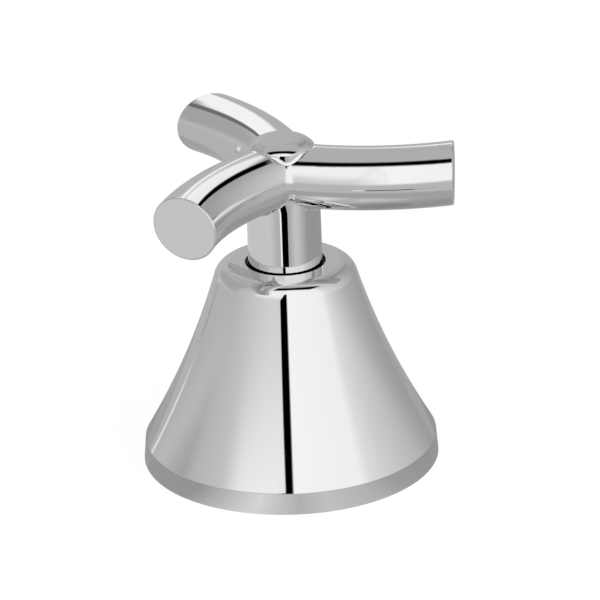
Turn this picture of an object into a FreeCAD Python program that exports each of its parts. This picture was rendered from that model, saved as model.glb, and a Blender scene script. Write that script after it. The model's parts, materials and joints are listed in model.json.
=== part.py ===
"""Three-arm tap handle that turns in a bell-shaped flange, modelled in millimetres.

The origin is on the base rim's underside, on the stem's axis; +Z is up and +X is the direction in which
the first arm leaves the hub.
"""
import FreeCAD
import Part
import Sketcher
import math
import os

from FreeCAD import Vector

# Sketch references: the origin point and the two axes
ORIGIN = (-1, 1)
H_AXIS, V_AXIS = (-1, -2)
FULL_TURN = 360.0
# Distance within which an edge counts as the one looked for
CLOSE = 1e-4

doc = FreeCAD.newDocument("tap_handle")

# Driving sizes
SIZES = {
    # bell flange
    "rim_radius": 30.0,
    "rim_height": 4.4,
    "rim_draft": 0.4,
    "rim_edge_radius": 0.5,
    "bell_height": 42.0,
    "neck_radius": 13.6,
    "shoulder_radius": 3.8,
    "flare_radius": 160.0,
    "bell_wall": 1.6,
    "foot_height": 8.0,
    "neck_plate": 2.4,
    "neck_gap": 0.62,
    "seat_gap": 0.05,
    # base seal
    "seal_inset": 1.3,
    "seal_width": 2.0,
    "seal_height": 1.5,
    # neck bush
    "bush_ledge": 2.48,
    "bush_height": 6.0,
    "running_gap": 0.06,
    "end_float": 0.1,
    # fixing sleeve
    "sleeve_wall": 1.94,
    "sleeve_seat_height": 8.0,
    "sleeve_length": 24.0,
    "sleeve_lip": 0.7,
    "sleeve_lip_overlap": 0.8,
    "thread_bore_radius": 11.46,
    "thread_length": 12.0,
    "thread_relief": 0.7,
    "sleeve_lead_in": 0.8,
    # stem and shank
    "stem_height": 18.6,
    "stem_shoulder": 0.8,
    "shank_wall": 0.95,
    "shank_length": 15.6,
    "shank_lead_in": 0.6,
    # thrust washer and retaining clip
    "washer_clearance": 0.8,
    "washer_thickness": 0.8,
    "loose_gap": 0.1,
    "clip_thickness": 1.0,
    "clip_groove_depth": 0.7,
    "clip_width": 1.5,
    "clip_mouth": 3.4,
    "clip_lug_radius": 1.5,
    "clip_eye_radius": 0.6,
    # arms and hub
    "arm_half_height": 6.3,
    "arm_widening": 0.7,
    "arm_bend_radius": 54.0,
    "arm_reach": 34.0,
    "arm_trim": 5.0,
    "arm_count": 3,
    "arm_edge_radius": 0.3,
    "hub_margin": 1.0,
    "boss_wall": 0.7,
    "boss_stock": 1.0,
    "cap_seat_depth": 0.4,
    "crease_radius": 2.2,
    "stem_joint_radius": 0.5,
    "boss_joint_radius": 0.8,
    # spline insert
    "insert_wall": 1.0,
    "insert_length": 12.0,
    "spline_radius": 4.0,
    "spline_depth": 0.4,
    "spline_count": 20,
    "spline_groove": 0.55,
    "insert_lead_in": 0.6,
    # screw and its washer
    "web_thickness": 8.0,
    "screw_radius": 2.5,
    "screw_hole_gap": 0.25,
    "screw_length": 12.0,
    "screw_head_radius": 4.4,
    "screw_head_height": 3.2,
    "screw_head_edge": 1.4,
    "screw_lead_in": 0.5,
    "screw_well_gap": 0.4,
    "drive_width": 1.2,
    "drive_length": 5.0,
    "drive_depth": 1.8,
    "lock_washer_radius": 4.5,
    "lock_washer_thickness": 0.9,
    "lock_washer_teeth": 8,
    "lock_tooth_length": 0.9,
    "lock_tooth_width": 1.4,
    # index cap and its ring
    "cap_overhang": 0.25,
    "cap_rim": 0.15,
    "cap_dome": 1.65,
    "cap_shoulder_radius": 4.4,
    "cap_seat_gap": 0.15,
    "spigot_ledge": 0.6,
    "spigot_length": 4.2,
    "spigot_gap": 0.3,
    "ring_section": 1.2,
    "ring_squeeze": 0.05,
    "ring_drop": 1.3,
}

sheet = doc.addObject("Spreadsheet::Sheet", "sizes")
for row, (alias, number) in enumerate(SIZES.items(), start=1):
    sheet.set(f"A{row}", alias)
    sheet.set(f"B{row}", str(number))
    sheet.setAlias(f"B{row}", alias)
doc.recompute()

# Heights and radii that several pieces share, worked out from the driving sizes
LINKS = {
    "rim_top_radius": "sizes.rim_radius - sizes.rim_draft",
    "flare_spread": "links.rim_top_radius - sizes.neck_radius",
    "flare_rise": "sizes.bell_height - sizes.rim_height",
    "flare_chord": "sqrt(links.flare_spread ^ 2 + links.flare_rise ^ 2)",
    "flare_reach": "sqrt(sizes.flare_radius ^ 2 - (links.flare_chord / 2) ^ 2) / links.flare_chord",
    "flare_centre_radius": "(links.rim_top_radius + sizes.neck_radius) / 2"
    " + links.flare_reach * links.flare_rise",
    "flare_centre_height": "(sizes.rim_height + sizes.bell_height) / 2"
    " + links.flare_reach * links.flare_spread",
    "flare_inner_radius": "sizes.flare_radius + sizes.bell_wall",
    "foot_inner_radius": "links.flare_centre_radius"
    " - sqrt(links.flare_inner_radius ^ 2 - (links.flare_centre_height - sizes.foot_height) ^ 2)",
    "seal_outer_radius": "sizes.rim_radius - sizes.seal_inset",
    "seal_inner_radius": "links.seal_outer_radius - sizes.seal_width",
    "insert_radius": "sizes.spline_radius + sizes.insert_wall",
    "socket_radius": "links.insert_radius + sizes.seat_gap",
    "groove_radius": "links.socket_radius + sizes.shank_wall",
    "shank_radius": "links.groove_radius + sizes.clip_groove_depth",
    "stem_radius": "links.shank_radius + sizes.stem_shoulder",
    "neck_hole_radius": "links.stem_radius + sizes.neck_gap",
    "bush_radius": "links.neck_hole_radius + sizes.bush_ledge",
    "sleeve_lip_radius": "links.bush_radius - sizes.sleeve_lip_overlap",
    "sleeve_radius": "sizes.thread_bore_radius + sizes.sleeve_wall",
    "washer_radius": "links.sleeve_lip_radius - sizes.washer_clearance",
    "bush_top": "sizes.bell_height - sizes.neck_plate",
    "bush_bottom": "sizes.bell_height - sizes.neck_plate - sizes.bush_height",
    "seat_bottom": "links.bush_bottom - sizes.sleeve_seat_height",
    "seat_inner_radius": "links.flare_centre_radius"
    " - sqrt(links.flare_inner_radius ^ 2 - (links.flare_centre_height - links.seat_bottom) ^ 2)",
    "bush_pocket": "links.bush_radius + sizes.seat_gap",
    "sleeve_pocket": "links.sleeve_radius + sizes.seat_gap",
    "sleeve_bottom": "links.bush_bottom - sizes.sleeve_length",
    "bush_bore": "links.shank_radius + sizes.running_gap",
    "stem_foot": "links.bush_top + sizes.end_float",
    "shank_bottom": "links.stem_foot - sizes.shank_length",
    "washer_top": "links.bush_bottom - sizes.end_float",
    "clip_top": "links.washer_top - sizes.washer_thickness",
    "clip_bottom": "links.clip_top - sizes.clip_thickness",
    "insert_top": "links.shank_bottom + sizes.insert_length",
    "screw_seat": "links.insert_top + sizes.web_thickness",
    "head_bottom": "links.screw_seat + sizes.lock_washer_thickness",
    "well_radius": "max(sizes.screw_head_radius; sizes.lock_washer_radius) + sizes.screw_well_gap",
    "spigot_bore": "links.well_radius + sizes.spigot_ledge",
    "spigot_radius": "links.spigot_bore - sizes.spigot_gap",
    "boss_radius": "links.spigot_bore + sizes.boss_wall",
    "cap_radius": "links.boss_radius + sizes.cap_overhang",
    "stem_top_radius": "sizes.arm_half_height + sizes.hub_margin",
    "arm_height": "sizes.bell_height + sizes.stem_height",
    "arm_half_width": "sizes.arm_half_height + sizes.arm_widening",
    "arm_half_turn": "asin(sizes.arm_reach / (2 * sizes.arm_bend_radius))",
    "arm_sweep": "2 * links.arm_half_turn + sizes.arm_trim / sizes.arm_bend_radius * 180 deg / pi",
    "arm_top": "links.arm_height + sizes.arm_half_height",
    "boss_height": "links.arm_top - sizes.cap_seat_depth",
    "spigot_bottom": "links.boss_height - sizes.spigot_length",
    "spigot_floor": "links.spigot_bottom - sizes.spigot_gap",
    "screw_hole_radius": "sizes.screw_radius + sizes.screw_hole_gap",
    "cap_seat_radius": "links.cap_radius + sizes.cap_seat_gap",
    "head_top": "links.head_bottom + sizes.screw_head_height",
    "screw_tip": "links.head_bottom - sizes.screw_length",
    "spline_bore": "sizes.spline_radius - sizes.spline_depth",
    "cap_shoulder": "links.boss_height + sizes.cap_rim",
    "ring_middle": "links.boss_height - sizes.ring_drop - sizes.ring_section / 2",
    "ring_radius": "links.spigot_bore - sizes.ring_squeeze - sizes.ring_section / 2",
    "ring_floor": "links.ring_radius - sizes.ring_section / 2 - sizes.ring_squeeze",
    "ring_groove_top": "links.ring_middle + sizes.ring_section / 2 + sizes.ring_squeeze",
    "ring_groove_bottom": "links.ring_middle - sizes.ring_section / 2 - sizes.ring_squeeze",
    "cap_top": "links.cap_shoulder + sizes.cap_dome",
    "cap_round_middle": "links.cap_top - sizes.cap_shoulder_radius",
    "cap_flat_radius": "links.cap_radius - sqrt(sizes.cap_shoulder_radius ^ 2 - (sizes.cap_shoulder_radius - sizes.cap_dome) ^ 2)",
}

links = doc.addObject("Spreadsheet::Sheet", "links")
for row, (alias, formula) in enumerate(LINKS.items(), start=1):
    links.set(f"A{row}", alias)
    links.set(f"B{row}", "=" + formula.replace("links.", ""))
    links.setAlias(f"B{row}", alias)
doc.recompute()


def size(formula):
    """The number that a formula over the two sheets gives."""
    return float(sheet.evalExpression(formula))


def new_body(label):
    """A body for one piece, labelled with its node name."""
    body = doc.addObject("PartDesign::Body", label)
    body.Label = label
    return body


def origin_part(body, role):
    """One of the body's own origin planes or axes."""
    return next(part for part in body.Origin.OriginFeatures if part.Role == role)


def new_sketch(body, name, plane="XZ_Plane", height=None):
    """A sketch on an origin plane of its body, raised by a formula where one is given."""
    sketch = body.newObject("Sketcher::SketchObject", name)
    sketch.AttachmentSupport = (origin_part(body, plane), [""])
    sketch.MapMode = "FlatFace"
    if height:
        sketch.setExpression("AttachmentOffset.Base.z", height)
    return sketch


def tie(sketch, kind, places, name, formula):
    """A named dimension of a sketch that follows a formula."""
    index = sketch.addConstraint(Sketcher.Constraint(kind, *places, size(formula)))
    sketch.renameConstraint(index, name)
    sketch.setExpression(f"Constraints.{name}", formula)


def outline(sketch, corners, arcs=None):
    """A closed outline whose corners are tied to two formulas each, their distances from the axes.

    arcs gives, for the edge that starts at a corner, the radius and the centre of a round stretch.
    """
    arcs = arcs or {}
    points = [Vector(size(across), size(up), 0) for across, up in corners]
    ends = []
    for number, start in enumerate(points):
        finish = points[(number + 1) % len(points)]
        if number in arcs:
            ends.append(add_arc(sketch, start, finish, *arcs[number][1:]))
        else:
            edge = sketch.addGeometry(Part.LineSegment(start, finish))
            ends.append(((edge, 1), (edge, 2)))
    for number, (_, last) in enumerate(ends):
        following = ends[(number + 1) % len(ends)][0]
        sketch.addConstraint(Sketcher.Constraint("Coincident", *last, *following))
    for number, (across, up) in enumerate(corners):
        place(sketch, ends[number][0], f"corner{number}", across, up)
    for number, arc in arcs.items():
        tie(sketch, "Radius", (ends[number][0][0],), f"radius{number}", arc[0])


def add_arc(sketch, start, finish, centre_across, centre_up):
    """An arc between two points about a centre, the short way round; gives its two end vertices."""
    centre = Vector(size(centre_across), size(centre_up), 0)
    first = start - centre
    last = finish - centre
    forward = first.cross(last).z > 0
    angles = [math.atan2(spoke.y, spoke.x) for spoke in ((first, last) if forward else (last, first))]
    circle = Part.Circle(centre, Vector(0, 0, 1), first.Length)
    edge = sketch.addGeometry(Part.ArcOfCircle(circle, *angles))
    return ((edge, 1), (edge, 2)) if forward else ((edge, 2), (edge, 1))


def place(sketch, vertex, name, across, up):
    """Ties a sketch vertex to its distances from the two axes; a distance of 0 puts it on the axis."""
    for kind, axis, formula in (("DistanceX", V_AXIS, across), ("DistanceY", H_AXIS, up)):
        if formula == "0":
            sketch.addConstraint(Sketcher.Constraint("PointOnObject", *vertex, axis))
        else:
            tie(sketch, kind, (*ORIGIN, *vertex), f"{name}_{kind}", formula)


def turn(body, name, corners, arcs=None, kind="PartDesign::Revolution"):
    """A profile in the XZ plane, as (radius, height) corners, turned about Z to add or to cut."""
    sketch = new_sketch(body, name + "_profile")
    outline(sketch, corners, arcs)
    feature = body.newObject(kind, name)
    feature.Profile = sketch
    feature.ReferenceAxis = (sketch, ["V_Axis"])
    feature.Angle = FULL_TURN
    return feature


def turned_piece(label, corners, arcs=None):
    """A body that is one turned profile."""
    body = new_body(label)
    turn(body, label + "_turned", corners, arcs)
    return body


def round_edges(body, name, radius, chosen):
    """A fillet on the edges of the body's last feature that a test picks out."""
    doc.recompute()
    last = body.Tip
    edges = enumerate(last.Shape.Edges, start=1)
    names = [f"Edge{number}" for number, edge in edges if chosen(edge, last.Shape)]
    fillet = body.newObject("PartDesign::Fillet", name)
    fillet.Base = (last, names)
    fillet.setExpression("Radius", radius)
    return fillet


def circle_at(radius, height):
    """A test for the round edges about Z with a given radius and height."""
    def test(edge, _):
        middle = edge.CenterOfMass
        reach = math.hypot(edge.Vertexes[0].X, edge.Vertexes[0].Y)
        return (abs(reach - size(radius)) < CLOSE and abs(edge.Vertexes[0].Z - size(height)) < CLOSE
                and math.hypot(middle.x, middle.y) < CLOSE)
    return test


def between(*surfaces):
    """A test for the edges where faces of two given kinds of surface meet."""
    def test(edge, shape):
        faces = shape.ancestorsOfType(edge, Part.Face)
        return sorted(type(face.Surface).__name__ for face in faces) == sorted(surfaces)
    return test


def on_upright_face(edge, shape):
    """A test for the edges of flat faces that stand upright."""
    surfaces = [face.Surface for face in shape.ancestorsOfType(edge, Part.Face)]
    return any(isinstance(flat, Part.Plane) and abs(flat.Axis.z) < CLOSE for flat in surfaces)


def pattern(body, name, features, count):
    """Copies of features, evenly spaced about Z."""
    polar = body.newObject("PartDesign::PolarPattern", name)
    polar.Originals = features
    polar.Axis = (origin_part(body, "Z_Axis"), [""])
    polar.Angle = FULL_TURN
    polar.setExpression("Occurrences", count)
    body.Tip = polar
    return polar


# Bell flange: trumpet flare on a plain rim, with seats inside for the bush, the sleeve and the seal
bell = turned_piece(
    "bell_flange",
    [
        ("sizes.rim_radius", "0"),
        ("links.rim_top_radius", "sizes.rim_height"),
        ("sizes.neck_radius", "sizes.bell_height"),
        ("links.neck_hole_radius", "sizes.bell_height"),
        ("links.neck_hole_radius", "links.bush_top"),
        ("links.bush_pocket", "links.bush_top"),
        ("links.bush_pocket", "links.bush_bottom"),
        ("links.sleeve_pocket", "links.bush_bottom"),
        ("links.sleeve_pocket", "links.seat_bottom"),
        ("links.seat_inner_radius", "links.seat_bottom"),
        ("links.foot_inner_radius", "sizes.foot_height"),
        ("links.foot_inner_radius", "0"),
        ("links.seal_inner_radius", "0"),
        ("links.seal_inner_radius", "sizes.seal_height"),
        ("links.seal_outer_radius", "sizes.seal_height"),
        ("links.seal_outer_radius", "0"),
    ],
    {
        1: ("sizes.flare_radius", "links.flare_centre_radius", "links.flare_centre_height"),
        9: ("links.flare_inner_radius", "links.flare_centre_radius", "links.flare_centre_height"),
    },
)
round_edges(bell, "shoulder", "sizes.shoulder_radius", circle_at("sizes.neck_radius", "sizes.bell_height"))
round_edges(bell, "rim_edge", "sizes.rim_edge_radius", circle_at("links.rim_top_radius", "sizes.rim_height"))

# Base seal: square-section rubber ring, flush with the rim's underside
seal = turned_piece(
    "base_seal",
    [
        ("links.seal_inner_radius + sizes.seat_gap", "0"),
        ("links.seal_outer_radius - sizes.seat_gap", "0"),
        ("links.seal_outer_radius - sizes.seat_gap", "sizes.seal_height"),
        ("links.seal_inner_radius + sizes.seat_gap", "sizes.seal_height"),
    ],
)

# Neck bush: plain ring under the neck plate, in which the shank turns
bush = turned_piece(
    "neck_bush",
    [
        ("links.bush_bore", "links.bush_bottom"),
        ("links.bush_radius", "links.bush_bottom"),
        ("links.bush_radius", "links.bush_top"),
        ("links.bush_bore", "links.bush_top"),
    ],
)

# Fixing sleeve: its lip holds the bush up, its lower bore takes the valve body's thread
sleeve = turned_piece(
    "fixing_sleeve",
    [
        ("links.sleeve_lip_radius", "links.bush_bottom"),
        ("links.sleeve_radius", "links.bush_bottom"),
        ("links.sleeve_radius", "links.sleeve_bottom"),
        ("sizes.thread_bore_radius + sizes.sleeve_lead_in", "links.sleeve_bottom"),
        ("sizes.thread_bore_radius", "links.sleeve_bottom + sizes.sleeve_lead_in"),
        ("sizes.thread_bore_radius", "links.sleeve_bottom + sizes.thread_length"),
        ("sizes.thread_bore_radius + sizes.thread_relief", "links.sleeve_bottom + sizes.thread_length"),
        ("sizes.thread_bore_radius + sizes.thread_relief", "links.bush_bottom - sizes.sleeve_lip"),
        ("links.sleeve_lip_radius", "links.bush_bottom - sizes.sleeve_lip"),
    ],
)

# Thrust washer: runs between the bush and the clip
washer = turned_piece(
    "thrust_washer",
    [
        ("links.shank_radius + sizes.loose_gap", "links.clip_top"),
        ("links.washer_radius", "links.clip_top"),
        ("links.washer_radius", "links.washer_top"),
        ("links.shank_radius + sizes.loose_gap", "links.washer_top"),
    ],
)


def cylinder(name, radius, bottom, height, across="0", aside="0"):
    """An upright cylinder whose sizes and place are formulas."""
    solid = doc.addObject("Part::Cylinder", name)
    solid.setExpression("Radius", radius)
    solid.setExpression("Height", height)
    solid.setExpression("Placement.Base.x", across)
    solid.setExpression("Placement.Base.y", aside)
    solid.setExpression("Placement.Base.z", bottom)
    return solid


def fused(name, solids):
    """Several solids joined into one."""
    result = doc.addObject("Part::MultiFuse", name)
    result.Shapes = solids
    return result


def cut(name, base, tool):
    """One solid cut by another."""
    result = doc.addObject("Part::Cut", name)
    result.Base = base
    result.Tool = tool
    return result


# Retaining clip: open spring ring with two eyed lugs beside its mouth
clip_place = ("links.clip_bottom", "sizes.clip_thickness")
lug_aside = "sizes.clip_mouth / 2 + sizes.clip_lug_radius"
lug_across = "links.groove_radius + sizes.clip_width"
clip_solid = fused(
    "clip_blank",
    [
        cylinder("clip_ring", "links.groove_radius + sizes.clip_width", *clip_place),
        cylinder("clip_lug_left", "sizes.clip_lug_radius", *clip_place, lug_across, lug_aside),
        cylinder("clip_lug_right", "sizes.clip_lug_radius", *clip_place, lug_across, f"-({lug_aside})"),
    ],
)
mouth = doc.addObject("Part::Box", "clip_mouth_cut")
mouth.setExpression("Length", "links.groove_radius + sizes.clip_width + 2 * sizes.clip_lug_radius")
mouth.setExpression("Width", "sizes.clip_mouth")
mouth.setExpression("Height", "sizes.clip_thickness")
mouth.setExpression("Placement.Base.y", "-sizes.clip_mouth / 2")
mouth.setExpression("Placement.Base.z", "links.clip_bottom")
clip_holes = fused(
    "clip_holes",
    [
        cylinder("clip_bore", "links.groove_radius", *clip_place),
        cylinder("clip_eye_left", "sizes.clip_eye_radius", *clip_place, lug_across, lug_aside),
        cylinder("clip_eye_right", "sizes.clip_eye_radius", *clip_place, lug_across, f"-({lug_aside})"),
        mouth,
    ],
)
clip = cut("retaining_clip", clip_solid, clip_holes)
clip.Label = "retaining_clip"

# Handle casting: stem and hub boss turned, three bent arms swept and patterned, bores cut from the middle
casting = new_body("handle_casting")
turn(
    casting,
    "stem",
    [
        ("0", "links.shank_bottom"),
        ("links.shank_radius - sizes.shank_lead_in", "links.shank_bottom"),
        ("links.shank_radius", "links.shank_bottom + sizes.shank_lead_in"),
        ("links.shank_radius", "links.clip_bottom"),
        ("links.groove_radius", "links.clip_bottom"),
        ("links.groove_radius", "links.clip_top"),
        ("links.shank_radius", "links.clip_top"),
        ("links.shank_radius", "links.stem_foot"),
        ("links.stem_radius", "links.stem_foot"),
        ("links.stem_top_radius", "links.arm_height"),
        ("links.boss_radius", "links.arm_height"),
        ("links.boss_radius", "links.arm_top + sizes.boss_stock"),
        ("0", "links.arm_top + sizes.boss_stock"),
    ],
)

arm_path = new_sketch(casting, "arm_path", "XY_Plane", "links.arm_height")
bend_radius = size("sizes.arm_bend_radius")
bend = Part.Circle(Vector(0, bend_radius, 0), Vector(0, 0, 1), bend_radius)
hub_end = -math.pi / 2
tip_end = hub_end + math.radians(size("links.arm_sweep"))
arm_path.addGeometry(Part.ArcOfCircle(bend, hub_end, tip_end))
arm_path.addConstraint(Sketcher.Constraint("Coincident", 0, 1, *ORIGIN))
arm_path.addConstraint(Sketcher.Constraint("PointOnObject", 0, 3, V_AXIS))
tie(arm_path, "Radius", (0,), "bend_radius", "sizes.arm_bend_radius")
tie(arm_path, "DistanceX", (*ORIGIN, 0, 2), "arm_end", "sizes.arm_bend_radius * sin(links.arm_sweep)")

arm_section = new_sketch(casting, "arm_section", "YZ_Plane")
section_middle = Vector(0, size("links.arm_height"), 0)
arm_section.addGeometry(Part.Ellipse(section_middle, size("links.arm_half_width"), size("sizes.arm_half_height")))
arm_section.exposeInternalGeometry(0)
WIDE_AXIS, DEEP_AXIS = 1, 2
arm_section.addConstraint(Sketcher.Constraint("PointOnObject", 0, 3, V_AXIS))
tie(arm_section, "DistanceY", (*ORIGIN, 0, 3), "arm_height", "links.arm_height")
arm_section.addConstraint(Sketcher.Constraint("Horizontal", WIDE_AXIS))
tie(arm_section, "Distance", (WIDE_AXIS,), "arm_width", "2 * links.arm_half_width")
tie(arm_section, "Distance", (DEEP_AXIS,), "arm_depth", "2 * sizes.arm_half_height")

arm = casting.newObject("PartDesign::AdditivePipe", "arm")
arm.Profile = arm_section
arm.Spine = (arm_path, ["Edge1"])
doc.recompute()

pattern(casting, "arms", [arm], "sizes.arm_count")

# The arm ends are faced off, each square to the line from the stem's axis to the middle of the end
facing_half = "2 * links.arm_half_width"
for number in range(int(size("sizes.arm_count"))):
    heading = f"(links.arm_half_turn + {number} * 360 deg / sizes.arm_count)"
    facing = casting.newObject("PartDesign::SubtractiveBox", f"arm_facing_{number}")
    facing.setExpression("Length", "2 * sizes.arm_trim + links.arm_half_width")
    facing.setExpression("Width", f"2 * {facing_half}")
    facing.setExpression("Height", f"2 * {facing_half}")
    facing.setExpression("Placement.Rotation.Angle", heading)
    outwards, aside = f"cos{heading}", f"sin{heading}"
    facing.setExpression("Placement.Base.x", f"sizes.arm_reach * {outwards} + {facing_half} * {aside}")
    facing.setExpression("Placement.Base.y", f"sizes.arm_reach * {aside} - {facing_half} * {outwards}")
    facing.setExpression("Placement.Base.z", f"links.arm_height - {facing_half}")
round_edges(casting, "arm_edges", "sizes.arm_edge_radius", on_upright_face)
round_edges(casting, "arm_creases", "sizes.crease_radius", between("SurfaceOfRevolution", "SurfaceOfRevolution"))
round_edges(casting, "stem_joint", "sizes.stem_joint_radius", between("Cone", "SurfaceOfRevolution"))
round_edges(casting, "boss_joint", "sizes.boss_joint_radius", between("Cylinder", "SurfaceOfRevolution"))

turn(
    casting,
    "bores",
    [
        ("0", "links.shank_bottom"),
        ("links.socket_radius", "links.shank_bottom"),
        ("links.socket_radius", "links.insert_top"),
        ("links.screw_hole_radius", "links.insert_top"),
        ("links.screw_hole_radius", "links.screw_seat"),
        ("links.well_radius", "links.screw_seat"),
        ("links.well_radius", "links.spigot_floor"),
        ("links.spigot_bore", "links.spigot_floor"),
        ("links.spigot_bore", "links.boss_height"),
        ("links.cap_seat_radius", "links.boss_height"),
        ("links.cap_seat_radius", "links.arm_top + sizes.boss_stock"),
        ("0", "links.arm_top + sizes.boss_stock"),
    ],
    kind="PartDesign::Groove",
)

# Spline insert: brass bush with a pilot bore and evenly spaced grooves for the valve's spindle
insert = turned_piece(
    "spline_insert",
    [
        ("links.spline_bore + sizes.insert_lead_in", "links.shank_bottom"),
        ("links.insert_radius", "links.shank_bottom"),
        ("links.insert_radius", "links.insert_top"),
        ("links.spline_bore", "links.insert_top"),
        ("links.spline_bore", "links.shank_bottom + sizes.insert_lead_in"),
    ],
)
groove = insert.newObject("PartDesign::SubtractiveBox", "spline_groove")
groove.setExpression("Length", "sizes.spline_radius")
groove.setExpression("Width", "sizes.spline_groove")
groove.setExpression("Height", "sizes.insert_length")
groove.setExpression("Placement.Base.y", "-sizes.spline_groove / 2")
groove.setExpression("Placement.Base.z", "links.shank_bottom")
doc.recompute()
pattern(insert, "spline", [groove], "sizes.spline_count")

# Handle screw: pan head with a cross recess, plain shank where the thread runs
screw = turned_piece(
    "handle_screw",
    [
        ("0", "links.screw_tip"),
        ("sizes.screw_radius - sizes.screw_lead_in", "links.screw_tip"),
        ("sizes.screw_radius", "links.screw_tip + sizes.screw_lead_in"),
        ("sizes.screw_radius", "links.head_bottom"),
        ("sizes.screw_head_radius", "links.head_bottom"),
        ("sizes.screw_head_radius", "links.head_top"),
        ("0", "links.head_top"),
    ],
)
head_rim = circle_at("sizes.screw_head_radius", "links.head_top")
round_edges(screw, "head_edge", "sizes.screw_head_edge", head_rim)
for name, along, aside in (("drive_across", "Length", "Width"), ("drive_aside", "Width", "Length")):
    recess = screw.newObject("PartDesign::SubtractiveBox", name)
    recess.setExpression(along, "sizes.drive_length")
    recess.setExpression(aside, "sizes.drive_width")
    recess.setExpression("Height", "sizes.drive_depth")
    recess.setExpression("Placement.Base.x", f"-{name}.Length / 2")
    recess.setExpression("Placement.Base.y", f"-{name}.Width / 2")
    recess.setExpression("Placement.Base.z", "links.head_top - sizes.drive_depth")

# Lock washer: thin ring with teeth round its outside
lock = turned_piece(
    "lock_washer",
    [
        ("links.screw_hole_radius", "links.screw_seat"),
        ("sizes.lock_washer_radius - sizes.lock_tooth_length", "links.screw_seat"),
        ("sizes.lock_washer_radius - sizes.lock_tooth_length", "links.head_bottom"),
        ("links.screw_hole_radius", "links.head_bottom"),
    ],
)
tooth = lock.newObject("PartDesign::AdditiveBox", "lock_tooth")
tooth.setExpression("Length", "sizes.lock_washer_radius - links.screw_hole_radius")
tooth.setExpression("Width", "sizes.lock_tooth_width")
tooth.setExpression("Height", "sizes.lock_washer_thickness")
tooth.setExpression("Placement.Base.x", "links.screw_hole_radius")
tooth.setExpression("Placement.Base.y", "-sizes.lock_tooth_width / 2")
tooth.setExpression("Placement.Base.z", "links.screw_seat")
doc.recompute()
pattern(lock, "lock_teeth", [tooth], "sizes.lock_washer_teeth")

# Index cap: thin-edged, with a broad rounded shoulder and a flat middle, on a grooved spigot
cap = turned_piece(
    "index_cap",
    [
        ("0", "links.spigot_bottom"),
        ("links.spigot_radius", "links.spigot_bottom"),
        ("links.spigot_radius", "links.ring_groove_bottom"),
        ("links.ring_floor", "links.ring_groove_bottom"),
        ("links.ring_floor", "links.ring_groove_top"),
        ("links.spigot_radius", "links.ring_groove_top"),
        ("links.spigot_radius", "links.boss_height"),
        ("links.cap_radius", "links.boss_height"),
        ("links.cap_radius", "links.cap_shoulder"),
        ("links.cap_flat_radius", "links.cap_top"),
        ("0", "links.cap_top"),
    ],
    {8: ("sizes.cap_shoulder_radius", "links.cap_flat_radius", "links.cap_round_middle")},
)

# Cap ring: round-section rubber ring in the spigot's groove
ring = doc.addObject("Part::Torus", "cap_o_ring")
ring.Label = "cap_o_ring"
ring.setExpression("Radius1", "links.ring_radius")
ring.setExpression("Radius2", "sizes.ring_section / 2")
ring.setExpression("Placement.Base.z", "links.ring_middle")

doc.recompute()

PIECES = [bell, seal, bush, sleeve, washer, clip, casting, insert, screw, lock, cap, ring]

for item in doc.Objects:
    if "Invalid" in item.State or "Error" in item.State:
        raise RuntimeError(f"{item.Name} did not build: {item.State}")
for piece in PIECES:
    if piece.Shape.isNull() or not piece.Shape.isValid() or len(piece.Shape.Solids) != 1:
        raise RuntimeError(f"{piece.Label} is not one valid solid")

os.makedirs("parts", exist_ok=True)
for piece in PIECES:
    piece.Shape.exportStep(f"parts/{piece.Label}.step")
    print(piece.Label, round(piece.Shape.Volume, 1), "cubic millimetres")
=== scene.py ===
# %% [markdown]
# # A swirled three-arm tap handle in its bell flange
# The CAD model holds every piece where it belongs, so it is loaded first and
# never moved. This lesson then sets up the camera and a light tent, works out
# the plated skins and the threads with numpy, and gives each piece a finish.

# %% Load the CAD frame
import json
import math

import bpy
import numpy as np
from mathutils import Matrix


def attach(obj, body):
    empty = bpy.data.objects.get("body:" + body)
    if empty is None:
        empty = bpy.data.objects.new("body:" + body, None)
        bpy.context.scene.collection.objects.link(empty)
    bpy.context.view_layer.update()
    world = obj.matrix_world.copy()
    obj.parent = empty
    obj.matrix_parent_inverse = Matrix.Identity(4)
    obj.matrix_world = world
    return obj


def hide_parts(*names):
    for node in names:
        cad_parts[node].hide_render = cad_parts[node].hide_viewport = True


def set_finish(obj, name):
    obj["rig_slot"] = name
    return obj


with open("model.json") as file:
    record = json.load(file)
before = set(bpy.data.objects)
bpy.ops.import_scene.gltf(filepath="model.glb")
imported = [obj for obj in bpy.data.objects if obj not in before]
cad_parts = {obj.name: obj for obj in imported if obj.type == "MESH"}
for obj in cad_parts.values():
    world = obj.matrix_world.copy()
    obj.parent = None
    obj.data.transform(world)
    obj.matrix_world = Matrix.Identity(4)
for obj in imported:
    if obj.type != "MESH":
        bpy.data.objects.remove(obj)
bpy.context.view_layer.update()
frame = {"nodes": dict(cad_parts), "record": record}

MM = 0.001
scene = bpy.context.scene
scene.view_settings.view_transform = "Standard"
print("CAD nodes:", sorted(frame["nodes"]))

# %% [markdown]
# ## Camera
# The photograph was taken with a long lens, a little above the handle. A
# camera could be placed by hand and nudged. Here it is turned, tipped and
# rolled about a point on the stem and then backed away, so each of its
# numbers says one thing about the view.

# %% Camera
VIEW_TURN, VIEW_RISE, VIEW_ROLL = (math.radians(a) for a in (22.485, 22.85, -1.81))
VIEW_DISTANCE = 0.8
VIEW_LENS_MM = 239.575
AIM_POINT = (0.003411, -0.001196, 0.034281)

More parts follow.
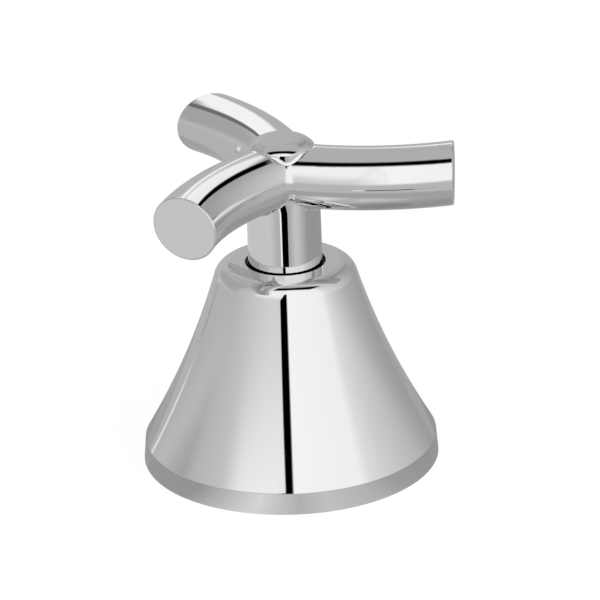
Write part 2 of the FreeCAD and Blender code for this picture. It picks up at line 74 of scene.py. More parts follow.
camera_data = bpy.data.cameras.new("photo_camera")
camera_data.lens = VIEW_LENS_MM
camera = bpy.data.objects.new("photo_camera", camera_data)
scene.collection.objects.link(camera)
camera.matrix_world = (
    Matrix.Translation(AIM_POINT)
    @ Matrix.Rotation(VIEW_TURN, 4, "Z")
    @ Matrix.Rotation(math.pi / 2 - VIEW_RISE, 4, "X")
    @ Matrix.Rotation(VIEW_ROLL, 4, "Z")
    @ Matrix.Translation((0, 0, VIEW_DISTANCE)))
scene.camera = camera
print("camera stands at", [round(v, 3) for v in camera.matrix_world.translation])

# %% [markdown]
# ## Small node tools
# Node trees get long when every link is written out. These helpers add a
# node, fill its sockets in order and hand back what it gives, so that the
# light tent and the finishes below read like sums.

# %% Nodes and sums


def add_node(tree, kind, *inputs, **settings):
    """Adds a node and fills its inputs in order: sockets are linked, values are set."""
    node = tree.nodes.new(kind)
    for name, value in settings.items():
        setattr(node, name, value)
    for socket, value in zip(node.inputs, inputs):
        if isinstance(value, bpy.types.NodeSocket):
            tree.links.new(value, socket)
        elif value is not None:
            socket.default_value = value
    return node


def calc(tree, operation, a, b=None):
    """One sum on one or two numbers."""
    return add_node(tree, "ShaderNodeMath", a, b, operation=operation).outputs[0]


print("node tools ready")

# %% Masks and levels


def fade(tree, value, start, end):
    """0 up to start and 1 past end, along a soft S; start may be the larger one."""
    return add_node(tree, "ShaderNodeMapRange", value, start, end, 0.0, 1.0,
                    interpolation_type="SMOOTHSTEP").outputs[0]


def window(tree, value, low, high, soft):
    """1 between low and high, with edges that are soft wide."""
    half = soft / 2
    return calc(tree, "MULTIPLY", fade(tree, value, low - half, low + half),
                fade(tree, value, high + half, high - half))


def paint(tree, base, level, *masks):
    """Lays a brightness over the base where all the masks are 1."""
    cover = masks[0]
    for mask in masks[1:]:
        cover = calc(tree, "MULTIPLY", cover, mask)
    return add_node(tree, "ShaderNodeMix", cover, None, base, level,
                    data_type="FLOAT").outputs[0]


def ramp(tree, value, low, high, stops):
    """Straight lines through (place, level) stops, for a value from low to high."""
    place = add_node(tree, "ShaderNodeMapRange", value, low, high, 0.0, 1.0).outputs[0]
    node = add_node(tree, "ShaderNodeValToRGB", place)
    elements = node.color_ramp.elements
    while len(elements) < len(stops):
        elements.new(1.0)
    for element, (at, level) in zip(elements, stops):
        element.position = (at - low) / (high - low)
        element.color = (level, level, level, 1.0)
    return node.outputs["Color"]


print("mask tools ready")

# %% [markdown]
# ## The light tent
# Polished chrome has hardly any colour of its own: what it shows is the room.
# The photograph was taken in a pale tent with a bright panel in front on the
# right, a dark bar overhead, two dark seams behind, and a narrow slit for the
# lens, which is the black stripe down the bell. Lamps and cards could be
# stood about, but a world that gives each direction its brightness is plainer
# and lights the handle evenly. Directions are read as an azimuth, counted
# from the camera's side to its right, and an elevation, both in degrees. In
# the tables below, a pair is where an edge starts and ends, and three numbers
# are a band's two edges and how soft they are.

# %% Directions in the tent
TOWARDS_CAMERA = (math.sin(VIEW_TURN), -math.cos(VIEW_TURN), 0.0)
CAMERA_RIGHT = (math.cos(VIEW_TURN), math.sin(VIEW_TURN), 0.0)
ALL_ROUND = (-180, 180)


def look_angles(tree, direction):
    """Azimuth and elevation of a direction, with its parts towards the camera and up."""
    ahead, aside = (
        add_node(tree, "ShaderNodeVectorMath", direction, axis,
                 operation="DOT_PRODUCT").outputs["Value"]
        for axis in (TOWARDS_CAMERA, CAMERA_RIGHT))
    up = add_node(tree, "ShaderNodeSeparateXYZ", direction).outputs["Z"]
    azimuth = calc(tree, "DEGREES", calc(tree, "ARCTAN2", aside, ahead))
    elevation = calc(tree, "DEGREES", calc(tree, "ARCSINE", up))
    return azimuth, elevation, ahead, up


print("the camera's side is", [round(v, 3) for v in TOWARDS_CAMERA])

# %% The slit for the lens
SLIT_LEFT, SLIT_RIGHT = (-12.4, -10.8), (1.8, -0.4)
SLIT_RISE = (-1.0, 47.0, 8.0)
SLIT_LEAN = 1 / 6


def lens_slit(tree, azimuth, elevation):
    """Mask of the slit: its right edge is upright, its left edge leans in as it rises."""
    lean = calc(tree, "MULTIPLY", elevation, SLIT_LEAN)
    left = fade(tree, calc(tree, "SUBTRACT", azimuth, lean), *SLIT_LEFT)
    right = fade(tree, azimuth, *SLIT_RIGHT)
    height = window(tree, elevation, *SLIT_RISE)
    return calc(tree, "MULTIPLY", calc(tree, "MULTIPLY", left, right), height)


print("slit from", SLIT_LEFT[0], "to", SLIT_RIGHT[0], "degrees")

# %% The seams behind
SEAM_AZIMUTH, SEAM_FOOT = 155.0, 26.5
SEAM_SLANT_LEFT, SEAM_SLANT_RIGHT = 1.45, 0.78
SEAM_HALF, SEAM_SPREAD = 3.2, 0.28
SEAM_EDGES, SEAM_RISE = (-1, 1, 0.6), (21, 50, 5)


def back_seam(tree, azimuth, elevation):
    """Place across a seam behind, whose edges are -1 and 1; more than 1 is further back.

    It is the angle off the seam's centre over half its width. With the height over the
    seam's foot, the centre comes forward by a slant and the half width grows.
    """
    off_front = calc(tree, "ABSOLUTE", azimuth)
    climb = calc(tree, "SUBTRACT", elevation, SEAM_FOOT)
    slant = add_node(tree, "ShaderNodeMix", fade(tree, azimuth, -1, 1), None,
                     SEAM_SLANT_LEFT, SEAM_SLANT_RIGHT, data_type="FLOAT").outputs[0]
    centre = calc(tree, "SUBTRACT", SEAM_AZIMUTH, calc(tree, "MULTIPLY", climb, slant))
    half = calc(tree, "ADD", calc(tree, "MULTIPLY", climb, SEAM_SPREAD), SEAM_HALF)
    return calc(tree, "DIVIDE", calc(tree, "SUBTRACT", off_front, centre), half)


def seam_mask(tree, azimuth, elevation):
    """1 on the two seams: between their edges and over their height."""
    return calc(tree, "MULTIPLY",
                window(tree, back_seam(tree, azimuth, elevation), *SEAM_EDGES),
                window(tree, elevation, *SEAM_RISE))


print("seams stand at", SEAM_AZIMUTH, "degrees to either side")

# %% Walls of the tent
WALL = [(-180, 0.52), (-150, 0.56), (-128, 0.60), (-80, 0.58), (-40, 0.72), (-26, 0.77),
        (-10, 0.78), (1, 1.12), (57, 1.06), (66, 0.88), (80, 0.76), (122, 0.51),
        (144, 0.40), (180, 0.52)]
LOW_WALL = [(-180, 0.50), (-115, 0.54), (20, 0.57), (80, 0.58), (100, 0.52), (140, 0.40),
            (180, 0.50)]
ROOF, PANEL, DARK, LEFT_SHADE = 0.52, 1.08, 0.0, 0.45
PANEL_TURN, PANEL_RISE = (-52, -4, 22), (8, 42)
LOW_RISE = (9, -4)
SHADE_TURN, SHADE_RISE = (-150, -88, 16), (5, 18)
ROOF_RISE, ROOF_FRONT = (44, 60), (0.28, 0.16)

world = bpy.data.worlds.new("light_tent")
world.use_nodes = True
scene.world = world
tent = world.node_tree
tent.nodes.clear()
direction = add_node(tent, "ShaderNodeTexCoord").outputs["Generated"]
azimuth, elevation, ahead, up = look_angles(tent, direction)

glow = ramp(tent, azimuth, *ALL_ROUND, WALL)
glow = paint(tent, glow, PANEL, window(tent, azimuth, *PANEL_TURN),
             fade(tent, elevation, *PANEL_RISE))
glow = paint(tent, glow, ramp(tent, azimuth, *ALL_ROUND, LOW_WALL),
             fade(tent, elevation, *LOW_RISE))
print("walls from", min(level for _, level in WALL), "to", max(level for _, level in WALL))

# %% The band that the stem shows
STEM_RING = [(-136, 0.66), (-45, 0.68), (-23, 0.54), (0, 0.50), (14, 0.46), (32, 0.66),
             (42, 0.65), (75, 0.37), (134, 0.36)]
RING_RISE, STRIPE_RISE = (-22.8, -19.6, 0.6), (-22.3, -19.6, 0.5)
STRIPE_LIGHT, STRIPE_DARK = (-12.5, -7.5, 1.5), (-7.5, 11.5, 1.5)

glow = paint(tent, glow, ramp(tent, azimuth, *ALL_ROUND, STEM_RING),
             window(tent, elevation, *RING_RISE))
stripe = window(tent, elevation, *STRIPE_RISE)
glow = paint(tent, glow, PANEL, window(tent, azimuth, *STRIPE_LIGHT), stripe)
glow = paint(tent, glow, DARK, window(tent, azimuth, *STRIPE_DARK), stripe)
print("the stem's stripe is", STRIPE_DARK[1] - STRIPE_DARK[0], "degrees wide")

# %% Shade, roof, seams and bar
SIDE_LINE, SIDE_LINE_RISE = (-135.4, -132.4, 1.5), (-11, 3, 3)
SIDE_LINE_LIGHT = [(-12, 0.50), (-7.5, 0.36), (-3.5, 0.90), (4, 0.80)]
SEAM_LEVELS = [(-30, 0.18), (30, 0.0)]
BAR, BAR_HEIGHT = (0.04, 0.31, 0.12), (0.80, 0.86)

glow = paint(tent, glow, LEFT_SHADE, window(tent, azimuth, *SHADE_TURN),
             fade(tent, elevation, *SHADE_RISE))
glow = paint(tent, glow, ROOF, fade(tent, elevation, *ROOF_RISE),
             fade(tent, ahead, *ROOF_FRONT))
side_light = ramp(tent, elevation, SIDE_LINE_LIGHT[0][0], SIDE_LINE_LIGHT[-1][0],
                  SIDE_LINE_LIGHT)
glow = paint(tent, glow, side_light, window(tent, azimuth, *SIDE_LINE),
             window(tent, elevation, *SIDE_LINE_RISE))
seam_level = ramp(tent, azimuth, SEAM_LEVELS[0][0], SEAM_LEVELS[-1][0], SEAM_LEVELS)
glow = paint(tent, glow, seam_level, seam_mask(tent, azimuth, elevation))
glow = paint(tent, glow, DARK, window(tent, ahead, *BAR), fade(tent, up, *BAR_HEIGHT))
glow = paint(tent, glow, DARK, lens_slit(tent, azimuth, elevation))

seen = add_node(tent, "ShaderNodeLightPath").outputs["Is Camera Ray"]
shown = paint(tent, glow, 1.0, seen)
backdrop = add_node(tent, "ShaderNodeBackground", shown, 1.0)
add_node(tent, "ShaderNodeOutputWorld", backdrop.outputs[0])
print("tent built from", len(tent.nodes), "nodes")

# %% [markdown]
# ## Meshes from grids
# Every new piece is a grid of points: one parameter runs along a section,
# the other round the axis. The section is given as runs, straight or curved,
# and each run also knows its exact outward normal. Chrome shows the smallest
# dent in the shading, so those normals are stored on the face corners instead
# of being averaged from the faces.

# %% Mesh from a grid


def make_piece(name, points, corners, normals=None, sharp=32.0):
    """A mesh from points (V, 3) in mm and faces (F, 4); equal corners at a pole merge."""
    keep = corners != np.roll(corners, -1, axis=1)
    sizes = keep.sum(axis=1)
    mesh = bpy.data.meshes.new(name)
    mesh.vertices.add(len(points))
    mesh.vertices.foreach_set("co", (points * MM).astype(np.float32).ravel())
    mesh.loops.add(int(sizes.sum()))
    mesh.loops.foreach_set("vertex_index", corners[keep].astype(np.int32))
    mesh.polygons.add(len(sizes))
    mesh.polygons.foreach_set("loop_start", (np.cumsum(sizes) - sizes).astype(np.int32))
    mesh.update(calc_edges=True)
    mesh.shade_smooth()
    mesh.set_sharp_from_angle(angle=math.radians(sharp))
    if normals is not None:
        mesh.normals_split_custom_set(normals[keep].tolist())
    piece = bpy.data.objects.new(name, mesh)
    scene.collection.objects.link(piece)
    print(f"{name}: {len(points)} points, {len(sizes)} faces")
    return piece


print("mesh tool ready")

# %% Runs of a section


def line(start, end):
    """A straight run of a section, whose normal is its direction turned clockwise."""
    points = np.array((start, end), float)
    along = (points[1] - points[0]) / np.linalg.norm(points[1] - points[0])
    return points, np.tile((along[1], -along[0]), (2, 1))


def chain(corners):
    """Straight runs from each corner of a section to the next."""
    return [line(a, b) for a, b in zip(corners, corners[1:])]


def arc(centre, radius, start, end, steps):
    """A curved run between two angles in degrees; counter-clockwise bulges outwards."""
    angle = np.radians(np.linspace(start, end, steps + 1))
    ray = np.stack((np.cos(angle), np.sin(angle)), axis=1)
    return np.array(centre) + radius * ray, ray * (1 if end > start else -1)


print("section tools ready")

# %% Rings round the axis
ON_AXIS = 1e-9


def ring_grid(radius, height, closed):
    """Points and quads of stacked rings: row i, column j stands at radius[i, j], height[i]."""
    rows, columns = radius.shape
    angle = np.arange(columns) * 2 * np.pi / columns
    round_axis = np.stack((np.cos(angle), np.sin(angle)), axis=1)
    pole = radius.max(axis=1) < ON_AXIS
    count = np.where(pole, 1, columns)
    index = (np.cumsum(count) - count)[:, None] + np.where(pole[:, None], 0, np.arange(columns))
    points = np.zeros((count.sum(), 3))
    points[index, :2] = radius[..., None] * round_axis
    points[index, 2] = height[:, None]
    start = np.arange(rows if closed else rows - 1)
    end, after = (start + 1) % rows, np.roll(np.arange(columns), -1)
    corners = np.stack((index[start], index[start][:, after],
                        index[end][:, after], index[end]), axis=2)
    return points, corners.reshape(-1, 4), round_axis


def turned(name, runs, columns=256):
    """Turns a section of (radius, height) runs once round the axis, as a grid of quads."""
    rows = np.concatenate([points[:-1] for points, _ in runs])
    first = np.concatenate([normals[:-1] for _, normals in runs])
    last = np.concatenate([normals[1:] for _, normals in runs])
    closed = np.allclose(rows[0], runs[-1][0][-1])
    rows = rows if closed else np.concatenate([rows, runs[-1][0][-1:]])
    points, corners, round_axis = ring_grid(
        np.repeat(rows[:, :1], columns, axis=1), rows[:, 1], closed)

    def spread(section_normal, turn):
        """The section's normal (out, up) carried round: out times the turn, and up."""
        ring = section_normal[:, None, :1] * turn
        up = np.broadcast_to(section_normal[:, None, 1:], ring.shape[:2] + (1,))
        return np.concatenate((ring, up), axis=2)

    next_turn = np.roll(round_axis, -1, axis=0)
    normals = np.stack((spread(first, round_axis), spread(first, next_turn),
                        spread(last, next_turn), spread(last, round_axis)), axis=2)
    return make_piece(name, points, corners, normals.reshape(-1, 4, 3))


print("turning tools ready")

# %% [markdown]
# ## The bell flange
# The bell is a brass pressing, polished and plated: a leaning rim, a long
# hollow flare and a rounded lip round the neck, with the seats for the bush,
# the sleeve and the seal turned inside. A lathe section suits it, because the
# real one is spun and turned too. The flare is one arc about a far centre.
# All sizes are in millimetres, as in the CAD model.

# %% The bell's outer section
FLARE = (167.619, 85.336)
FLARE_RADIUS, LIP, RIM_EDGE = 160.0, 3.8, 0.5
RIM_RADIUS, RIM_HEIGHT, RIM_LEAN = 30.0, 4.4, 0.4
BELL_TOP, EDGE_HEIGHT = 42.0, 4.243


def flare_angle(height, radius):
    """Angle, seen from the flare's centre, at which an arc about it passes a height."""
    return 180 + math.degrees(math.asin((FLARE[1] - height) / radius))


def flare_reach(height, radius):
    """Radius from the axis at which an arc about the flare's centre passes a height."""
    return FLARE[0] - math.sqrt(radius ** 2 - (FLARE[1] - height) ** 2)


lip_centre = (flare_reach(BELL_TOP - LIP, FLARE_RADIUS + LIP), BELL_TOP - LIP)
lip_turn = flare_angle(BELL_TOP - LIP, FLARE_RADIUS + LIP)
edge_centre = (flare_reach(EDGE_HEIGHT, FLARE_RADIUS + RIM_EDGE), EDGE_HEIGHT)
edge_turn = flare_angle(EDGE_HEIGHT, FLARE_RADIUS + RIM_EDGE)
rim_turn = math.degrees(math.atan(RIM_LEAN / RIM_HEIGHT))
outer = [
    arc(edge_centre, RIM_EDGE, rim_turn, edge_turn - 180, 12),
    arc(FLARE, FLARE_RADIUS, edge_turn, lip_turn, 64),
    arc(lip_centre, LIP, lip_turn - 180, 90, 24)]
print("lip bends about", [round(v, 3) for v in lip_centre])

# %% The bell's seats, and the bell
NECK_BORE, BUSH_BORE, SLEEVE_BORE = 8.12, 10.65, 13.45
NECK_FOOT, BUSH_FOOT, SLEEVE_FOOT = 39.6, 33.6, 25.6
WALL_THICK, HOLLOW_FOOT = 1.6, 8.0
SEAL_IN, SEAL_OUT, SEAL_DEPTH = 26.7, 28.7, 1.5

hollow_radius = FLARE_RADIUS + WALL_THICK
hollow = arc(FLARE, hollow_radius, flare_angle(SLEEVE_FOOT, hollow_radius),
             flare_angle(HOLLOW_FOOT, hollow_radius), 24)
seats = [(NECK_BORE, BELL_TOP), (NECK_BORE, NECK_FOOT), (BUSH_BORE, NECK_FOOT),
         (BUSH_BORE, BUSH_FOOT), (SLEEVE_BORE, BUSH_FOOT), (SLEEVE_BORE, SLEEVE_FOOT)]
foot = [(hollow[0][-1][0], 0), (SEAL_IN, 0), (SEAL_IN, SEAL_DEPTH),
        (SEAL_OUT, SEAL_DEPTH), (SEAL_OUT, 0), (RIM_RADIUS, 0)]
bell = turned("bell_skin", [
    *outer, *chain([outer[-1][0][-1], *seats, hollow[0][0]]),
    hollow, *chain([hollow[0][-1], *foot, outer[0][0][0]])])
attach(bell, "flange")
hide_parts("bell_flange")
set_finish(bell, "chrome_plate")

# %% [markdown]
# ## The index cap
# The cap over the screw has a thin edge, a broad rounded shoulder and a flat
# middle, and a spigot that holds the sealing ring. It is turned from one
# section as well; the shoulder meets the flat in a true tangent, so the
# reflections run on without a kink.

# %% Index cap
CAP_SEAT, CAP_RIM, CAP_RISE, CAP_RADIUS, CAP_ROUND = 66.5, 0.15, 1.65, 6.45, 4.4
SPIGOT, SPIGOT_FOOT = 5.2, 62.3
GROOVE, GROOVE_FOOT, GROOVE_TOP = 4.2, 63.95, 65.25

cap_top = CAP_SEAT + CAP_RIM + CAP_RISE
shoulder_turn = math.degrees(math.asin(1 - CAP_RISE / CAP_ROUND))
flat_reach = CAP_RADIUS - CAP_ROUND * math.cos(math.radians(shoulder_turn))
spigot = [(0.0, SPIGOT_FOOT), (SPIGOT, SPIGOT_FOOT), (SPIGOT, GROOVE_FOOT),
          (GROOVE, GROOVE_FOOT), (GROOVE, GROOVE_TOP), (SPIGOT, GROOVE_TOP),
          (SPIGOT, CAP_SEAT), (CAP_RADIUS, CAP_SEAT), (CAP_RADIUS, CAP_SEAT + CAP_RIM)]
cap = turned("index_cap_skin", [
    *chain(spigot),
    arc((flat_reach, cap_top - CAP_ROUND), CAP_ROUND, shoulder_turn, 90, 24),
    line((flat_reach, cap_top), (0.0, cap_top))], columns=192)
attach(cap, "handle")
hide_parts("index_cap")
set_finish(cap, "chrome_plate")

# %% [markdown]
# ## The threads
# The sleeve screws onto the valve by a fine thread in its bore, and the
# handle screw has a coarse one. The CAD model keeps both plain, at the crest.
# Here the radius of each ring point dips with its height and its turn round
# the axis: a straight-flanked V with flat crests and roots that climbs one
# pitch in one turn. The screw's cross recess is a ring whose reach is the
# nearer of an arm's end and its side.

# %% Thread tools
AROUND = 96


def thread_shape(height, pitch):
    """0 at the root and 1 at the crest of a 60 degree helix, for each height and turn.

    Of one pitch a quarter is root and an eighth is crest, and the flanks between are
    straight and 5/16 long.
    """
    turn = np.arange(AROUND) / AROUND
    phase = (height[:, None] / pitch - turn) % 1.0
    return np.clip((3 / 8 - np.abs(phase - 0.5)) / (5 / 16), 0, 1)


def stack_rows(*rows):
    """Joins plain (radius, height) rows and (radii, heights) blocks into one grid."""
    radii = [np.full((1, AROUND), r) if np.isscalar(r) else r for r, _ in rows]
    return np.concatenate(radii), np.concatenate([np.atleast_1d(h) for _, h in rows])


print("threads have", AROUND, "points to a turn")

# %% Fixing sleeve
SLEEVE_RADIUS, SLEEVE_LOW, SLEEVE_TOP = 13.4, 9.6, 33.6
SLEEVE_LIP, SLEEVE_LIP_LOW = 9.8, 32.9
RELIEF, RELIEF_LOW = 12.16, 21.6
BORE_CREST, BORE_DEPTH, BORE_PITCH, BORE_LEAD_IN = 11.46, 0.54, 1.0, 0.8
BORE_ROWS = 12 * 12 + 1

bore_heights = np.linspace(RELIEF_LOW, SLEEVE_LOW, BORE_ROWS)
bore = BORE_CREST + BORE_DEPTH * (1 - thread_shape(bore_heights, BORE_PITCH))
lead_in = BORE_CREST + BORE_LEAD_IN - np.maximum(bore_heights - SLEEVE_LOW, 0)
bore = np.maximum(bore, lead_in[:, None])
sleeve_points, sleeve_corners, _ = ring_grid(*stack_rows(
    (SLEEVE_RADIUS, SLEEVE_LOW), (SLEEVE_RADIUS, SLEEVE_TOP), (SLEEVE_LIP, SLEEVE_TOP),
    (SLEEVE_LIP, SLEEVE_LIP_LOW), (RELIEF, SLEEVE_LIP_LOW), (RELIEF, RELIEF_LOW),
    (bore, bore_heights)), closed=True)
sleeve = make_piece("fixing_sleeve_threaded", sleeve_points, sleeve_corners)
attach(sleeve, "flange")
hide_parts("fixing_sleeve")
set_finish(sleeve, "brass")

# %% Handle screw
SCREW_TIP, HEAD_SEAT, HEAD_TOP = 33.0, 45.0, 48.2
SHANK_ROOT, SHANK_DEPTH, SHANK_PITCH, TIP_RADIUS = 2.01, 0.49, 0.8, 2.0
HEAD_RADIUS, HEAD_EDGE = 4.4, 1.4
CROSS_REACH, CROSS_HALF, CROSS_FLOOR = 2.5, 0.6, 46.4
SHANK_ROWS = 12 * 15 + 1
QUARTER = np.pi / 2

shank_heights = np.linspace(SCREW_TIP, HEAD_SEAT, SHANK_ROWS)
shank = SHANK_ROOT + SHANK_DEPTH * thread_shape(shank_heights, SHANK_PITCH)
shank = np.minimum(shank, TIP_RADIUS + (shank_heights - SCREW_TIP)[:, None])
edge_angle = np.radians(np.linspace(0, 90, 9))
head_edge = HEAD_RADIUS - HEAD_EDGE + HEAD_EDGE * np.cos(edge_angle)
head_heights = HEAD_TOP - HEAD_EDGE + HEAD_EDGE * np.sin(edge_angle)
from_arm = (np.arange(AROUND) / AROUND * 4 * QUARTER + QUARTER / 2) % QUARTER - QUARTER / 2
side_reach = CROSS_HALF / np.maximum(np.abs(np.sin(from_arm)), 1e-6)
recess = np.minimum(CROSS_REACH / np.cos(from_arm), side_reach)[None]
screw_points, screw_corners, _ = ring_grid(*stack_rows(
    (0.0, SCREW_TIP), (shank, shank_heights), (HEAD_RADIUS, HEAD_SEAT),
    (np.repeat(head_edge[:, None], AROUND, axis=1), head_heights),
    (recess, HEAD_TOP), (recess, CROSS_FLOOR), (0.0, CROSS_FLOOR)), closed=False)
screw = make_piece("handle_screw_threaded", screw_points, screw_corners)
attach(screw, "handle")
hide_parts("handle_screw")
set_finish(screw, "steel")

# %% [markdown]
# ## Finishes
# Each material takes its colour from a pattern on Object coordinates: the
# metals their roughness too, the moulded ones a bump. Two effects are shared,
# so they are node groups: the faint uneven polish of metal, and the fine skin
# of moulded plastic and rubber.

# %% Shared effects
FINE_POLISH = 14.0
DUST_SCALE, DUST_EDGE = 120.0, (0.45, 0.75)


def start_group(name, inputs, outputs):
    """An empty shader node group with float inputs and the named float outputs."""
    group = bpy.data.node_groups.new(name, "ShaderNodeTree")
    for label, value in inputs.items():
        socket = group.interface.new_socket(label, in_out="INPUT", socket_type="NodeSocketFloat")
        socket.default_value = value
    for label in outputs:
        group.interface.new_socket(label, in_out="OUTPUT", socket_type="NodeSocketFloat")
    return group, group.nodes.new("NodeGroupInput"), group.nodes.new("NodeGroupOutput")


def polish_group():
    """Uneven polish: roughness = base + spread times two noises; the broad one is the tone."""
    group, given, result = start_group(
        "uneven_polish", {"Scale": 60.0, "Roughness": 0.05, "Spread": 0.03},
        ("Roughness", "Tone"))
    place = add_node(group, "ShaderNodeTexCoord").outputs["Object"]
    broad = add_node(group, "ShaderNodeTexNoise", place, None, given.outputs["Scale"], 3.0)
    fine_scale = calc(group, "MULTIPLY", given.outputs["Scale"], FINE_POLISH)
    fine = add_node(group, "ShaderNodeTexNoise", place, None, fine_scale, 2.0)
    both = calc(group, "MULTIPLY", broad.outputs[0], fine.outputs[0])
    spread = calc(group, "MULTIPLY", both, given.outputs["Spread"])
    rough = calc(group, "ADD", spread, given.outputs["Roughness"])
    group.links.new(rough, result.inputs["Roughness"])
    group.links.new(broad.outputs[0], result.inputs["Tone"])
    return group


def skin_group():
    """Moulded skin: a fine noise is the height for a bump, a broad one masks paler dust."""
    group, given, result = start_group("moulded_skin", {"Scale": 900.0}, ("Height", "Dust"))
    place = add_node(group, "ShaderNodeTexCoord").outputs["Object"]
    grain = add_node(group, "ShaderNodeTexNoise", place, None, given.outputs["Scale"], 4.0)
    dust = add_node(group, "ShaderNodeTexNoise", place, None, DUST_SCALE, 5.0)
    group.links.new(grain.outputs[0], result.inputs["Height"])
    group.links.new(fade(group, dust.outputs[0], *DUST_EDGE), result.inputs["Dust"])
    return group


UNEVEN_POLISH, MOULDED_SKIN = polish_group(), skin_group()
print("effects:", UNEVEN_POLISH.name, MOULDED_SKIN.name)

# %% Metal and moulded finishes
GRAIN_STRENGTH = 0.3


def blend_colours(tree, factor, first, second):
    """A colour between two, by a factor."""
    return add_node(tree, "ShaderNodeMix", factor, None, None, None, None, None,
                    (*first, 1.0), (*second, 1.0), data_type="RGBA").outputs[2]


def new_finish(name):
    """A material with its node tree and its own shader."""
    material = bpy.data.materials.new(name)
    material.use_nodes = True
    return material, material.node_tree, material.node_tree.nodes["Principled BSDF"]


def metal(name, first, second, scale, roughness, spread):
    """Metal whose tone and roughness drift a little over the surface."""
    material, tree, shader = new_finish(name)
    polish = add_node(tree, "ShaderNodeGroup", node_tree=UNEVEN_POLISH)
    for label, value in zip(("Scale", "Roughness", "Spread"), (scale, roughness, spread)):
        polish.inputs[label].default_value = value
    shader.inputs["Metallic"].default_value = 1.0
    tree.links.new(blend_colours(tree, polish.outputs["Tone"], first, second),
                   shader.inputs["Base Color"])
    tree.links.new(polish.outputs["Roughness"], shader.inputs["Roughness"])
    return material


def moulded(name, colour, dusty, roughness, scale, depth):
    """Plastic or rubber with a fine moulded grain and a trace of dust."""
    material, tree, shader = new_finish(name)
    skin = add_node(tree, "ShaderNodeGroup", node_tree=MOULDED_SKIN)
    skin.inputs["Scale"].default_value = scale
    bump = add_node(tree, "ShaderNodeBump")
    bump.inputs["Strength"].default_value = GRAIN_STRENGTH
    bump.inputs["Distance"].default_value = depth
    tree.links.new(skin.outputs["Height"], bump.inputs["Height"])
    tree.links.new(bump.outputs[0], shader.inputs["Normal"])
    tree.links.new(blend_colours(tree, skin.outputs["Dust"], colour, dusty),
                   shader.inputs["Base Color"])
    shader.inputs["Roughness"].default_value = roughness
    return material


print("finish tools ready")

# %% The six finishes
FINISHES = {
    "chrome_plate": metal("chrome_plate", first=(0.79, 0.79, 0.79), second=(0.81, 0.81, 0.81),
                          scale=40, roughness=0.015, spread=0.03),
    "brass": metal("machined_brass", first=(0.74, 0.55, 0.27), second=(0.82, 0.65, 0.37),
                   scale=150, roughness=0.18, spread=0.3),
    "steel": metal("plain_steel", first=(0.58, 0.58, 0.58), second=(0.66, 0.66, 0.66),
                   scale=200, roughness=0.22, spread=0.3),
    "black_nylon": moulded("black_nylon", colour=(0.025,) * 3, dusty=(0.05,) * 3,
                           roughness=0.45, scale=1500, depth=2e-5),
    "white_acetal": moulded("white_acetal", colour=(0.82, 0.82, 0.80), dusty=(0.76, 0.75, 0.72),
                            roughness=0.4, scale=1200, depth=1e-5),
    "black_rubber": moulded("black_rubber", colour=(0.022,) * 3, dusty=(0.06,) * 3,
                            roughness=0.7, scale=900, depth=4e-5)}
print("finishes:", sorted(FINISHES))

# %% Put the finishes on
node_slot = {part["node"]: part["material_slot"] for part in frame["record"]["subparts"]}
for node, piece in frame["nodes"].items():
    piece.data.materials.clear()
    piece.data.materials.append(FINISHES[node_slot[node]])
for piece in (bell, cap, sleeve, screw):
    piece.data.materials.append(FINISHES[piece["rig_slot"]])
print("finished", len(node_slot), "nodes")

# %% [markdown]
# ## Floor
# The handle stands on a pale sheet that burns out to white, with only a trace
# of shadow. For the camera the floor is nearly its own light source. The
# metal sees a sheet of paper close by, with a pool of light and patches of
# shade painted on it as a glow, which shades the rim and the undersides, and
# the tent's lower wall beyond it.
# Lengths are in metres here. The floor lies a hair under the bell, so that
# the two faces don't coincide.

# %% Floor
FLOOR_EDGE, FLOOR_LEVEL = 6.0, -0.00002
floor_mesh = bpy.data.meshes.new("floor")
floor_mesh.from_pydata([(x * FLOOR_EDGE, y * FLOOR_EDGE, FLOOR_LEVEL)
                        for x, y in ((-1, -1), (1, -1), (1, 1), (-1, 1))], [], [(0, 1, 2, 3)])
floor = bpy.data.objects.new("floor", floor_mesh)
scene.collection.objects.link(floor)
print("floor laid at", FLOOR_LEVEL, "m")

# %% Pale sheet
# Painted light and shade on the paper that the metal sees: a glow set by azimuth, brightest to the
# front left and dim round the sides and back, then a flat grey past the patch edge.
PAINTED_PAPER_LIGHT = [(-180, 0.33), (-90, 0.37), (-48, 0.37), (-16, 0.82), (3, 0.54), (16, 0.66),
               (38, 0.54), (52, 0.41), (80, 0.35), (180, 0.32)]
FAR_PAPER = 0.43
PATCH_EDGE, PAPER_EDGE = (0.044, 0.060), (0.095, 0.115)
SHEET_GLOW, SHEET_TONE, BOUNCE_TONE = 0.88, 0.22, 0.6

sheet = bpy.data.materials.new("pale_sheet")
sheet.use_nodes = True
tree = sheet.node_tree
tree.nodes.clear()
path = add_node(tree, "ShaderNodeLightPath")
place = add_node(tree, "ShaderNodeTexCoord").outputs["Object"]
reach = add_node(tree, "ShaderNodeVectorMath", place, operation="LENGTH").outputs["Value"]
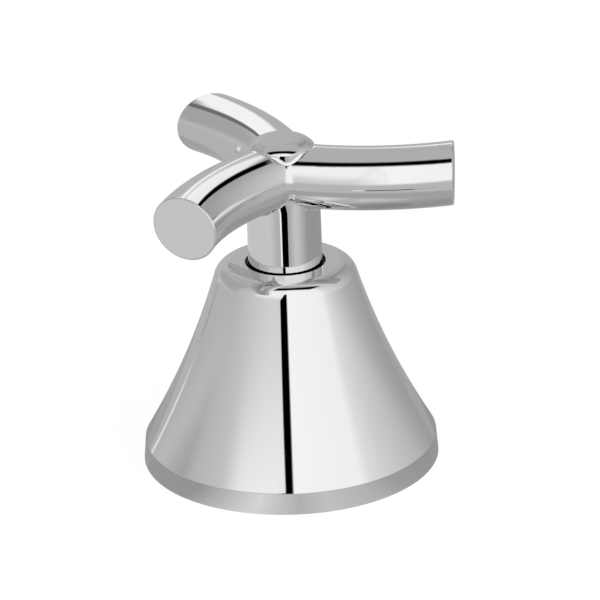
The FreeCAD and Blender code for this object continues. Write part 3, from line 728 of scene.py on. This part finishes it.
# The painted pool of light and shade, laid over a flat grey further out.
painted_patches = paint(tree, ramp(tree, look_angles(tree, place)[0], *ALL_ROUND, PAINTED_PAPER_LIGHT),
                FAR_PAPER, fade(tree, reach, *PATCH_EDGE))
paper = add_node(tree, "ShaderNodeEmission", painted_patches, 1.0)
plain = add_node(tree, "ShaderNodeBsdfDiffuse", (*(BOUNCE_TONE,) * 3, 1.0))
white = add_node(tree, "ShaderNodeAddShader",
                 add_node(tree, "ShaderNodeEmission", (1, 1, 1, 1), SHEET_GLOW).outputs[0],
                 add_node(tree, "ShaderNodeBsdfDiffuse", (*(SHEET_TONE,) * 3, 1.0)).outputs[0])
shown = add_node(tree, "ShaderNodeMixShader", path.outputs["Is Camera Ray"],
                 plain.outputs[0], white.outputs[0])
clear = add_node(tree, "ShaderNodeBsdfTransparent")
reflected = add_node(tree, "ShaderNodeMixShader", fade(tree, reach, *PAPER_EDGE),
                     paper.outputs[0], clear.outputs[0])
ground = add_node(tree, "ShaderNodeMixShader", path.outputs["Is Glossy Ray"],
                  shown.outputs[0], reflected.outputs[0])
add_node(tree, "ShaderNodeOutputMaterial", ground.outputs[0])
floor_mesh.materials.append(sheet)
print("paper seen by the metal out to", PAPER_EDGE[1], "m")

# %% [markdown]
# ## Panels that only some pieces show
# The arms stand clear of the lens and of the low bell: they show the front
# panel without its slit, and two bright panels behind. The bell and the cap
# show the seams behind only as a soft grey. Lamps could not be aimed so
# finely, so a far glowing shell adds just that light, and light linking
# limits it: a collection names the pieces that a shell may light. The two
# shells differ in radius, because of two that coincide only one is seen.

# %% Glowing shells
SHELL_ROWS, SHELL_COLUMNS = 49, 96
shell_rise = np.radians(np.linspace(-90, 90, SHELL_ROWS))
shell_reach = np.cos(shell_rise)
shell_reach[[0, -1]] = 0.0


def glow_shell(name, radius, receivers, light):
    """A far sphere adding light(tree, azimuth, elevation) to the receivers' reflections."""
    rings = np.repeat(radius * shell_reach[:, None], SHELL_COLUMNS, axis=1)
    points, corners, _ = ring_grid(rings, radius * np.sin(shell_rise), closed=False)
    shell = make_piece(name, points, corners)
    shell.visible_camera = shell.visible_shadow = shell.visible_diffuse = False
    material = bpy.data.materials.new(name)
    material.use_nodes = True
    material.cycles.emission_sampling = "NONE"
    tree = material.node_tree
    tree.nodes.clear()
    place = add_node(tree, "ShaderNodeTexCoord").outputs["Object"]
    facing = add_node(tree, "ShaderNodeVectorMath", place, operation="NORMALIZE").outputs["Vector"]
    level = light(tree, *look_angles(tree, facing)[:2])
    both = add_node(tree, "ShaderNodeAddShader",
                    add_node(tree, "ShaderNodeEmission", (1, 1, 1, 1), level).outputs[0],
                    add_node(tree, "ShaderNodeBsdfTransparent").outputs[0])
    add_node(tree, "ShaderNodeOutputMaterial", both.outputs[0])
    shell.data.materials.append(material)
    lit = bpy.data.collections.new(name)
    for piece in receivers:
        lit.objects.link(piece)
    shell.light_linking.receiver_collection = lit
    print(name, "lights", [piece.name for piece in receivers])


print("shells have", SHELL_ROWS, "by", SHELL_COLUMNS, "points")

# %% Light for the arms
ARM_SHELL_RADIUS = 20000.0
FILL_TURN, FILL_LIGHT, LOW_FILL = (-16, 6), [(-12, 0.78), (0, PANEL)], 0.57
BEHIND_SEAM, BEHIND_RISE = (0.9, 1.5), (18, 44, 6)
MIDDLE_LEAN, MIDDLE_EDGE = 0.65, (196, 193)


def arm_light(tree, turn, rise):
    """The front panel across the slit, and panels behind from each seam to near the middle."""
    front = paint(tree, ramp(tree, turn, *FILL_TURN, FILL_LIGHT), PANEL,
                  fade(tree, rise, *PANEL_RISE))
    front = paint(tree, front, LOW_FILL, fade(tree, rise, *LOW_RISE))
    fill = paint(tree, 0.0, front, lens_slit(tree, turn, rise))
    middle = calc(tree, "ADD", calc(tree, "ABSOLUTE", turn),
                  calc(tree, "MULTIPLY", rise, MIDDLE_LEAN))
    return paint(tree, fill, PANEL - ROOF, fade(tree, back_seam(tree, turn, rise), *BEHIND_SEAM),
                 fade(tree, middle, *MIDDLE_EDGE), window(tree, rise, *BEHIND_RISE))


glow_shell("arm_panels", ARM_SHELL_RADIUS, [frame["nodes"]["handle_casting"]], arm_light)

# %% Light for the bell and the cap
SEAM_SHELL_RADIUS, SEAM_GREY = 18000.0, 0.34


def seam_light(tree, turn, rise):
    """A grey that closes most of the dark seams behind."""
    return paint(tree, 0.0, SEAM_GREY, seam_mask(tree, turn, rise))


glow_shell("seam_cover", SEAM_SHELL_RADIUS, [bell, cap], seam_light)
